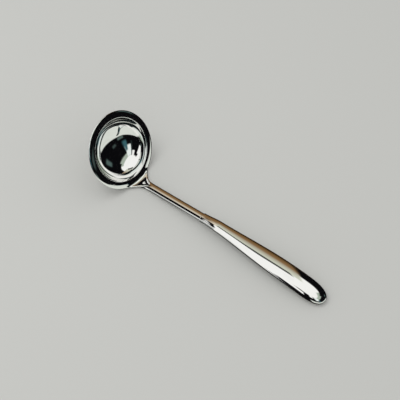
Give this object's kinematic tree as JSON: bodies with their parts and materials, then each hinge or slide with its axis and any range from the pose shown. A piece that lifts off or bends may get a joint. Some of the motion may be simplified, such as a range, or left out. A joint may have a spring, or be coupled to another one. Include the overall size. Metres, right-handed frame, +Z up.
{
  "type": "serving ladle",
  "caption": "Polished steel serving ladle: round cup with a flared lip, a slim shank rising from a drawn neck, and a hollow swelling handle.",
  "frame": {"origin": "middle of the ladle's footprint on the surface it lies on", "axes": "+X from the bowl to the tail of the handle, +Z up from the surface, mirror plane at Y = 0"},
  "size_m": [0.2942, 0.0834, 0.0696],
  "materials": {
    "polished_steel": "mirror-polished stainless steel with fine wipe marks"
  },
  "bodies": {
    "root": {"bowl": "polished_steel", "shank": "polished_steel", "handle_upper_shell": "polished_steel", "handle_lower_shell": "polished_steel"}
  },
  "joints": []
}
